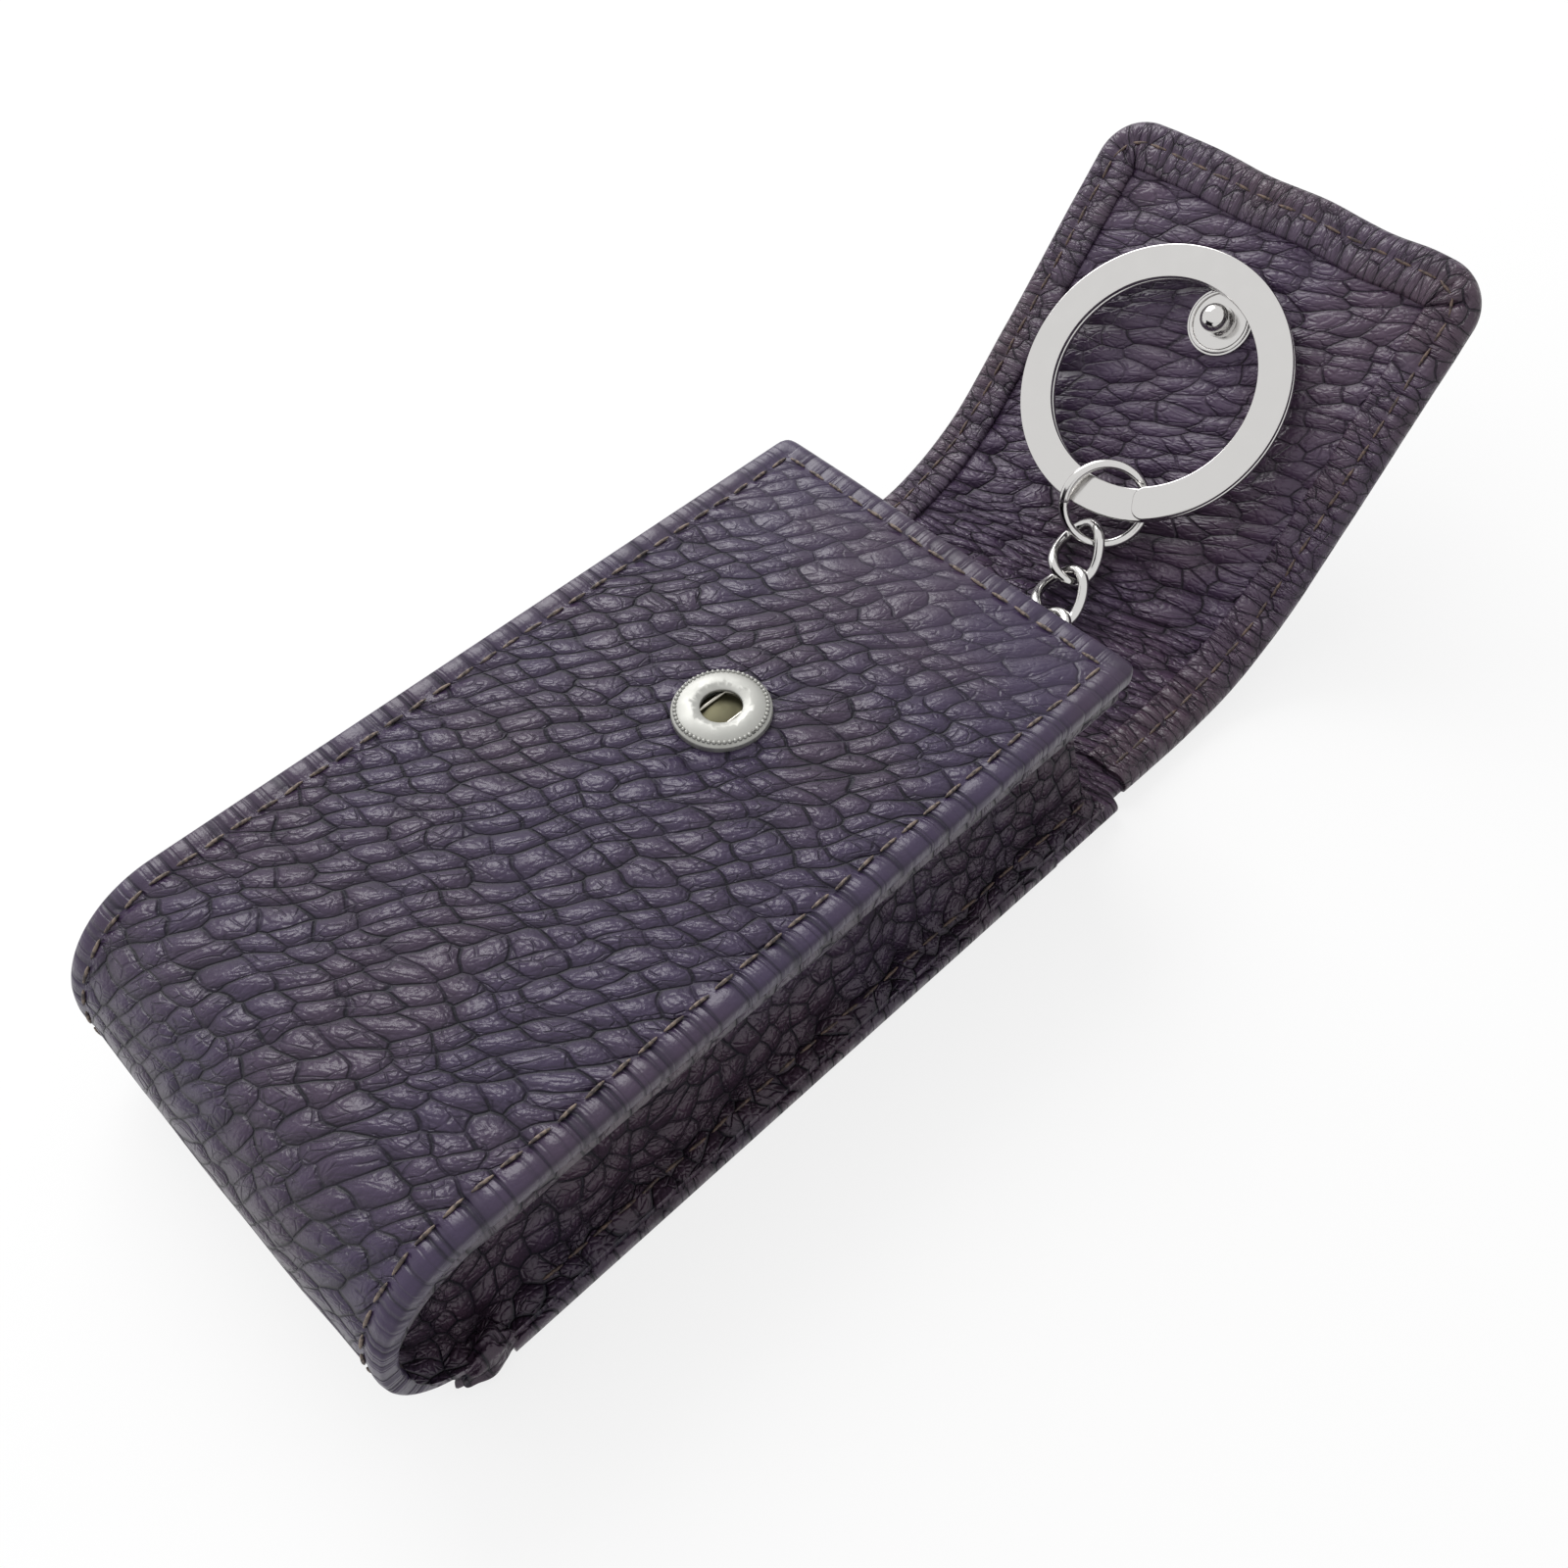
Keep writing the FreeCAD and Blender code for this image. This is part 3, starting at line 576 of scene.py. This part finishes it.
# gussets: one V-folded strip down each side, closing to nothing at the bottom
gusset = {'line': [(25.2, 22.3), (26.2, 22.3), (26.75, 22.1), (26.8, 21.5), (26.2, 20.2), (24.9, 17.8),
                   (23.2, 14.9), (22.0, 13.0), (21.55, 12.2), (21.7, 11.2), (22.3, 9.2), (23.2, 6.4),
                   (24.1, 3.9), (24.8, 2.95), (25.7, 2.7), (28.4, 2.7)],
          'half': 0.5, 'end': -49.6, 'mouth': 49.0, 'rippled': range(4, 12), 'ripple': 0.5}
# the room between the panels, where the gussets stand
room = {'top': 23.1, 'bottom': 2.2, 'tall': 20.6, 'upper': 11.6, 'lower': 9.3}


def cavity(y):
    bottom, top = room['bottom'], room['top']
    if y <= front['upperY']:
        top = front['turnZ'] + math.sqrt(max(0.0, room['upper'] ** 2 - (y - front['upperY']) ** 2))
    if y <= front['lowerY']:
        bottom = front['turnZ'] - math.sqrt(max(0.0, room['lower'] ** 2 - (y - front['lowerY']) ** 2))
    return bottom, top


def gussetRing(hand, y):
    bottom, top = cavity(y)
    line = gusset['line']
    upper, lower = [], []
    lengths = [0.0]
    for first, second in zip(line, line[1:]):
        lengths.append(lengths[-1] + (Vector(second) - Vector(first)).length)
    for index, (side, z) in enumerate(line):
        ahead = line[min(index + 1, len(line) - 1)]
        behind = line[max(index - 1, 0)]
        run = Vector((ahead[0] - behind[0], ahead[1] - behind[1])).normalized()
        ripple = soft(side, y, z * 0.5, 7.0, gusset['ripple']) if index in gusset['rippled'] else 0.0
        for sign, target in ((1, upper), (-1, lower)):
            x = side - run.y * gusset['half'] * sign + ripple
            tall = z + run.x * gusset['half'] * sign
            share = min(1.0, max(0.0, (tall - room['bottom']) / room['tall']))
            level = bottom + (top - bottom) * share
            target.append(Vector((hand * x * mm, y * mm, level * mm)))
    grains = [(length, y, 1.0) for length in lengths + list(reversed(lengths))]
    return upper + list(reversed(lower)), grains


for hand, side in ((-1, 'left'), (1, 'right')):
    pairs = [gussetRing(hand, y) for y in spaced(gusset['mouth'], gusset['end'], 1.0)]
    piece = sweep('gusset_skin_' + side, [pair[0] for pair in pairs], sideLeather,
                  [grain for pair in pairs for grain in pair[1]])
    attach(piece, 'case')
    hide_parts('gusset_' + side)
print('gussets folded')


# one stitch, copied along each row
stitch = {'length': 2.5, 'wide': 0.4, 'tall': 0.42, 'pitch': 3.2}


def stitchShape():
    bpy.ops.object.select_all(action='DESELECT')
    bpy.ops.mesh.primitive_uv_sphere_add(segments=8, ring_count=6, radius=0.5)
    shape = bpy.context.object
    bpy.ops.object.mode_set(mode='EDIT')
    bpy.ops.mesh.select_all(action='SELECT')
    bpy.ops.transform.rotate(value=math.pi / 2, orient_axis='X', center_override=(0, 0, 0))
    bpy.ops.object.mode_set(mode='OBJECT')
    points = [vertex.co.copy() for vertex in shape.data.vertices]
    faces = [tuple(face.vertices) for face in shape.data.polygons]
    bpy.ops.object.delete()
    return points, faces


stitchPoints, stitchFaces = stitchShape()


def stitchRow(name, spots, thread):
    points, faces = [], []
    for centre, along, outward in spots:
        along = along.normalized()
        across = along.cross(outward).normalized()
        up = across.cross(along).normalized()
        lean = rng.uniform(-0.09, 0.09)
        along, across = along + across * lean, across - along * lean
        start = len(points)
        for point in stitchPoints:
            bow = 1 - 1.2 * point.y * point.y
            points.append(centre + across * point.x * stitch['wide'] * mm
                          + along * point.y * stitch['length'] * mm
                          + up * (point.z * stitch['tall'] + 0.12 * bow) * mm)
        faces += [tuple(start + index for index in face) for face in stitchFaces]
    mesh = bpy.data.meshes.new(name)
    mesh.from_pydata(points, [], faces)
    piece = bpy.data.objects.new(name, mesh)
    scene.collection.objects.link(piece)
    return finishPiece(piece, thread, smooth['thread'])


def spotsAlong(place, path, height):
    spots = []
    sign = 1 if height > -0.9 else -1
    for (side, run), (nextSide, nextRun) in zip(path, path[1:]):
        centre = place((side + nextSide) / 2, (run + nextRun) / 2, height)
        along = place(nextSide, nextRun, height) - place(side, run, height)
        outward = place((side + nextSide) / 2, (run + nextRun) / 2, height + sign) - centre
        spots.append((centre, along, outward))
    return spots


frontRow = front['half'] - front['row']
sewnRuns = spaced(front['row'], front['sewnTo'], stitch['pitch'])
frontPath = {'left': [(-frontRow, run) for run in sewnRuns],
             'right': [(frontRow, run) for run in sewnRuns],
             'mouth': [(side, front['row']) for side in spaced(-frontRow, frontRow, stitch['pitch'])]}
for side, path in frontPath.items():
    row = stitchRow('front_stitches_' + side, spotsAlong(frontPoint, path, -0.1), frontThread)
    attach(row, 'case')
for side, hand in (('left', -1), ('right', 1)):
    path = [(hand * back['row'], run) for run in spaced(back['sewnFrom'], back['sewnTo'], stitch['pitch'])]
    row = stitchRow('back_stitches_' + side, spotsAlong(backPoint, path, back['sewnAt']), hemThread)
    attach(row, 'case')


def hemPath():
    pitch = stitch['pitch']
    edge = flap['half'] - flap['row']
    reach = flap['corner'] - flap['row']
    middle = flap['half'] - flap['corner']
    path = [(-edge, run) for run in spaced(flap['sewnFrom'], cornerRun, pitch)]
    path += [(-middle - reach * math.cos(turn), cornerRun + reach * math.sin(turn))
             for turn in hem['sewnTurns']]
    path += [(side, flapLength - flap['row']) for side in spaced(-middle, middle, pitch)[1:]]
    path += [(middle + reach * math.sin(turn), cornerRun + reach * math.cos(turn))
             for turn in hem['sewnTurns']]
    path += [(edge, run) for run in spaced(cornerRun, flap['sewnFrom'], pitch)[1:]]
    return path


for name, height in hem['rows'].items():
    row = stitchRow(name, spotsAlong(flapPoint, hemPath(), height), hemThread)
    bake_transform(row)
print('stitches sewn')


# metal pieces and the tab: a merged copy of the CAD node with its edges softened
def softened(node, name, width, segments, material, slotName):
    source = frame['nodes'][node]
    piece = bpy.data.objects.new(name, source.data.copy())
    scene.collection.objects.link(piece)
    bpy.ops.object.select_all(action='DESELECT')
    bpy.context.view_layer.objects.active = piece
    piece.select_set(True)
    bpy.ops.object.mode_set(mode='EDIT')
    bpy.ops.mesh.select_all(action='SELECT')
    bpy.ops.mesh.remove_doubles(threshold=0.000002)
    bpy.ops.mesh.dissolve_limited(angle_limit=math.radians(0.5))
    bpy.ops.object.mode_set(mode='OBJECT')
    if slotName == 'leather':
        layGrain(piece.data, [(vertex.co.x / mm, vertex.co.y / mm, 1.0)
                              for vertex in piece.data.vertices])
    if width:
        bevel = piece.modifiers.new('softEdge', 'BEVEL')
        bevel.width = width * mm
        bevel.segments = segments
        bevel.limit_method = 'ANGLE'
        bevel.angle_limit = math.radians(40)
        bpy.ops.object.modifier_apply(modifier='softEdge')
    finishPiece(piece, material, smooth['metal'])
    if width:
        even = piece.modifiers.new('evenShine', 'WEIGHTED_NORMAL')
        even.keep_sharp = True
        even.weight = 100
        bpy.ops.object.modifier_apply(modifier='evenShine')
    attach(piece, source['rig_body'])
    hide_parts(node)
    return piece


# width of each softened edge, in mm
metals = {'split_ring': 0.2, 'snap_socket': 0.12, 'socket_eyelet': 0.1, 'snap_stud': 0.06,
          'snap_cap': 0.15, 'jump_ring': 0.0, 'chain_link_1': 0.0, 'chain_link_2': 0.0, 'chain_link_3': 0.0}
for node, width in metals.items():
    metal = satinNickel if 'socket' in node else nickel
    softened(node, node + '_polished', width, 3, metal, 'nickel')
softened('socket_spring', 'socket_spring_polished', 0.0, 1, springSteel, 'spring_steel')
softened('anchor_tab', 'anchor_tab_skin', 0.12, 2, sideLeather, 'leather')
print('metal polished')


# tiny beads round the socket's rim
beads = {'count': 56, 'reach': 5.0, 'radius': 0.27, 'centre': (0.0, 15.3, 26.22)}
bpy.ops.object.select_all(action='DESELECT')
bpy.ops.mesh.primitive_uv_sphere_add(segments=6, ring_count=4, radius=beads['radius'] * mm)
bead = bpy.context.object
bead.name = 'socket_beads'
bpy.ops.object.mode_set(mode='EDIT')
bpy.ops.mesh.select_all(action='SELECT')
start = Vector(beads['centre']) + Vector((beads['reach'], 0, 0))
bpy.ops.transform.translate(value=start * mm)
bpy.ops.mesh.spin(steps=beads['count'], dupli=True, angle=math.tau,
                  center=Vector(beads['centre']) * mm, axis=(0, 0, 1))
bpy.ops.object.mode_set(mode='OBJECT')
finishPiece(bead, satinNickel, smooth['bead'])
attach(bead, 'case')

# dull floor seen down the socket's hole, stepped like the pressed cup it is; its olive metal is darkened to
# near black as painted shade of the deep hole
well = {'centre': (0.0, 15.3, 25.12), 'radius': 2.9, 'thick': 0.2,
        'steps': ((0.5, 0.12), (0.45, -0.1), (0.5, 0.14))}
bpy.ops.object.select_all(action='DESELECT')
bpy.ops.mesh.primitive_cylinder_add(vertices=48, radius=well['radius'] * mm, depth=well['thick'] * mm)
cup = bpy.context.object
cup.name = 'socket_well'
bpy.ops.object.mode_set(mode='EDIT')
bpy.ops.mesh.select_all(action='SELECT')
bpy.ops.transform.translate(value=Vector(well['centre']) * mm)
bpy.ops.mesh.select_all(action='DESELECT')
bpy.ops.object.mode_set(mode='OBJECT')
for face in cup.data.polygons:
    face.select = face.normal.z > 0.9
bpy.ops.object.mode_set(mode='EDIT')
bpy.ops.mesh.select_mode(type='FACE')
for inset, rise in well['steps']:
    bpy.ops.mesh.inset(thickness=inset * mm, depth=rise * mm)
bpy.ops.object.mode_set(mode='OBJECT')
finishPiece(cup, shadedWellNickel)
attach(cup, 'case')
print('socket beaded')

# bunched ends of the bottom seam at both corners
seamEnd = {'centre': (27.6, -43.0, 2.2), 'size': (1.75, 3.6, 2.2), 'crumple': 0.34, 'lowest': 0.05}
for side, hand in (('left', -1), ('right', 1)):
    bpy.ops.object.select_all(action='DESELECT')
    bpy.ops.mesh.primitive_ico_sphere_add(subdivisions=5, radius=1.0)
    lump = bpy.context.object
    lump.name = 'seam_end_' + side
    grains = []
    for vertex in lump.data.vertices:
        out = vertex.co.normalized()
        swell = 1 + soft(out.x + hand, out.y * 0.6, out.z, 0.42, seamEnd['crumple'])
        spot = [centre + size * part * swell
                for centre, size, part in zip(seamEnd['centre'], seamEnd['size'], out)]
        spot[2] = max(spot[2], seamEnd['lowest'])
        vertex.co = Vector((hand * spot[0], spot[1], spot[2])) * mm
        grains.append((spot[0] + spot[2], spot[1], 1.0))
    layGrain(lump.data, grains)
    finishPiece(lump, sideLeather, smooth['lump'])
    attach(lump, 'case')
print('seam ends bunched')


# floor, light and white surround
stageLook = {'floor': (0.92, 0.92, 0.92, 1), 'level': -0.0003, 'fill': 0.5, 'key': 3.2, 'front': 1.5,
             'whiten': 0.8, 'openReach': 0.035, 'openFrom': 0.88, 'openTo': 0.99}
bpy.ops.object.select_all(action='DESELECT')
bpy.ops.mesh.primitive_plane_add(size=6.0, location=(0, 0, stageLook['level']))
floor = bpy.context.object
floor.name = 'floor'
floorMat, floorTree, floorShader = newMaterial('paleFloor')
floorShader.inputs['Base Color'].default_value = stageLook['floor']
floorShader.inputs['Roughness'].default_value = 0.9
floorShader.inputs['Specular IOR Level'].default_value = 0.1
floorPath = floorTree.nodes.new('ShaderNodeLightPath')
paper = addNode(floorTree, 'ShaderNodeEmission', Color=(1, 1, 1, 1), Strength=1.0)
whiter = floorTree.nodes.new('ShaderNodeMixShader')
looked = mathNode(floorTree, 'MAXIMUM', floorPath.outputs['Is Camera Ray'],
                  floorPath.outputs['Is Glossy Ray'])
looked = mathNode(floorTree, 'MAXIMUM', looked, floorPath.outputs['Is Transmission Ray'])
floorTree.links.new(mathNode(floorTree, 'MULTIPLY', looked, stageLook['whiten']), whiter.inputs[0])
floorTree.links.new(floorShader.outputs['BSDF'], whiter.inputs[1])
floorTree.links.new(paper.outputs['Emission'], whiter.inputs[2])
# where the flap hangs below the table's level, the floor gives way to it
below = addNode(floorTree, 'ShaderNodeAmbientOcclusion', samples=5, inside=True,
                Distance=stageLook['openReach'])
clear = ramp(floorTree, below.outputs['AO'], stageLook['openFrom'], stageLook['openTo'], 1.0, 0.0)
gone = floorTree.nodes.new('ShaderNodeBsdfTransparent')
opened = floorTree.nodes.new('ShaderNodeMixShader')
floorTree.links.new(clear, opened.inputs[0])
floorTree.links.new(whiter.outputs['Shader'], opened.inputs[1])
floorTree.links.new(gone.outputs['BSDF'], opened.inputs[2])
floorOut = next(node for node in floorTree.nodes if node.type == 'OUTPUT_MATERIAL')
floorTree.links.new(opened.outputs['Shader'], floorOut.inputs['Surface'])
floor.data.materials.append(floorMat)

world = bpy.data.worlds.new('studio')
scene.world = world
world.use_nodes = True
tree = world.node_tree
tree.nodes.clear()
worldOut = tree.nodes.new('ShaderNodeOutputWorld')
path = tree.nodes.new('ShaderNodeLightPath')
dim = addNode(tree, 'ShaderNodeBackground', Color=(1, 1, 1, 1), Strength=stageLook['fill'])
white = addNode(tree, 'ShaderNodeBackground', Color=(1, 1, 1, 1), Strength=1.0)
seen = mathNode(tree, 'MAXIMUM', path.outputs['Is Camera Ray'], path.outputs['Is Transmission Ray'])
seen = mathNode(tree, 'MAXIMUM', seen, path.outputs['Is Glossy Ray'])
pick = tree.nodes.new('ShaderNodeMixShader')
tree.links.new(seen, pick.inputs[0])
tree.links.new(dim.outputs[0], pick.inputs[1])
tree.links.new(white.outputs[0], pick.inputs[2])
tree.links.new(pick.outputs[0], worldOut.inputs['Surface'])


def softbox(name, place, target, size, energy):
    bpy.ops.object.light_add(type='AREA', location=place)
    lamp = bpy.context.object
    lamp.name = name
    lamp.data.shape = 'SQUARE'
    lamp.data.size = size
    lamp.data.energy = energy
    lamp.rotation_euler = (Vector(target) - Vector(place)).to_track_quat('-Z', 'Y').to_euler()
    return lamp


softbox('keyBox', (-0.475, 0.18, 0.42), (0, 0.02, 0.02), 0.45, stageLook['key'])
frontBox = softbox('frontBox', (-0.29, -0.29, 0.53), (0, 0.05, 0.02), 0.6, stageLook['front'])
frontBox.visible_glossy = False

# camera matched to the photo
view = {'eye': (0.087834, -0.054871, 0.157492), 'azimuth': 48.18, 'elevation': 52.314, 'roll': -2.795,
        'lens': 37.18}
azimuth, elevation, roll = (math.radians(view[key]) for key in ('azimuth', 'elevation', 'roll'))
backward = Vector((math.sin(azimuth) * math.cos(elevation), -math.cos(azimuth) * math.cos(elevation),
                   math.sin(elevation)))
level = (-backward).cross(Vector((0, 0, 1))).normalized()
upright = level.cross(-backward).normalized()
right = level * math.cos(roll) + upright * math.sin(roll)
up = upright * math.cos(roll) - level * math.sin(roll)
bpy.ops.object.camera_add()
camera = bpy.context.object
camera.name = 'photoCamera'
camera.data.lens = view['lens']
camera.data.sensor_width = 36.0
camera.data.clip_start = 0.005
turn = Matrix((right, up, backward)).transposed().to_4x4()
camera.matrix_world = Matrix.Translation(view['eye']) @ turn
scene.camera = camera
scene.view_settings.view_transform = 'Standard'
print('camera set')
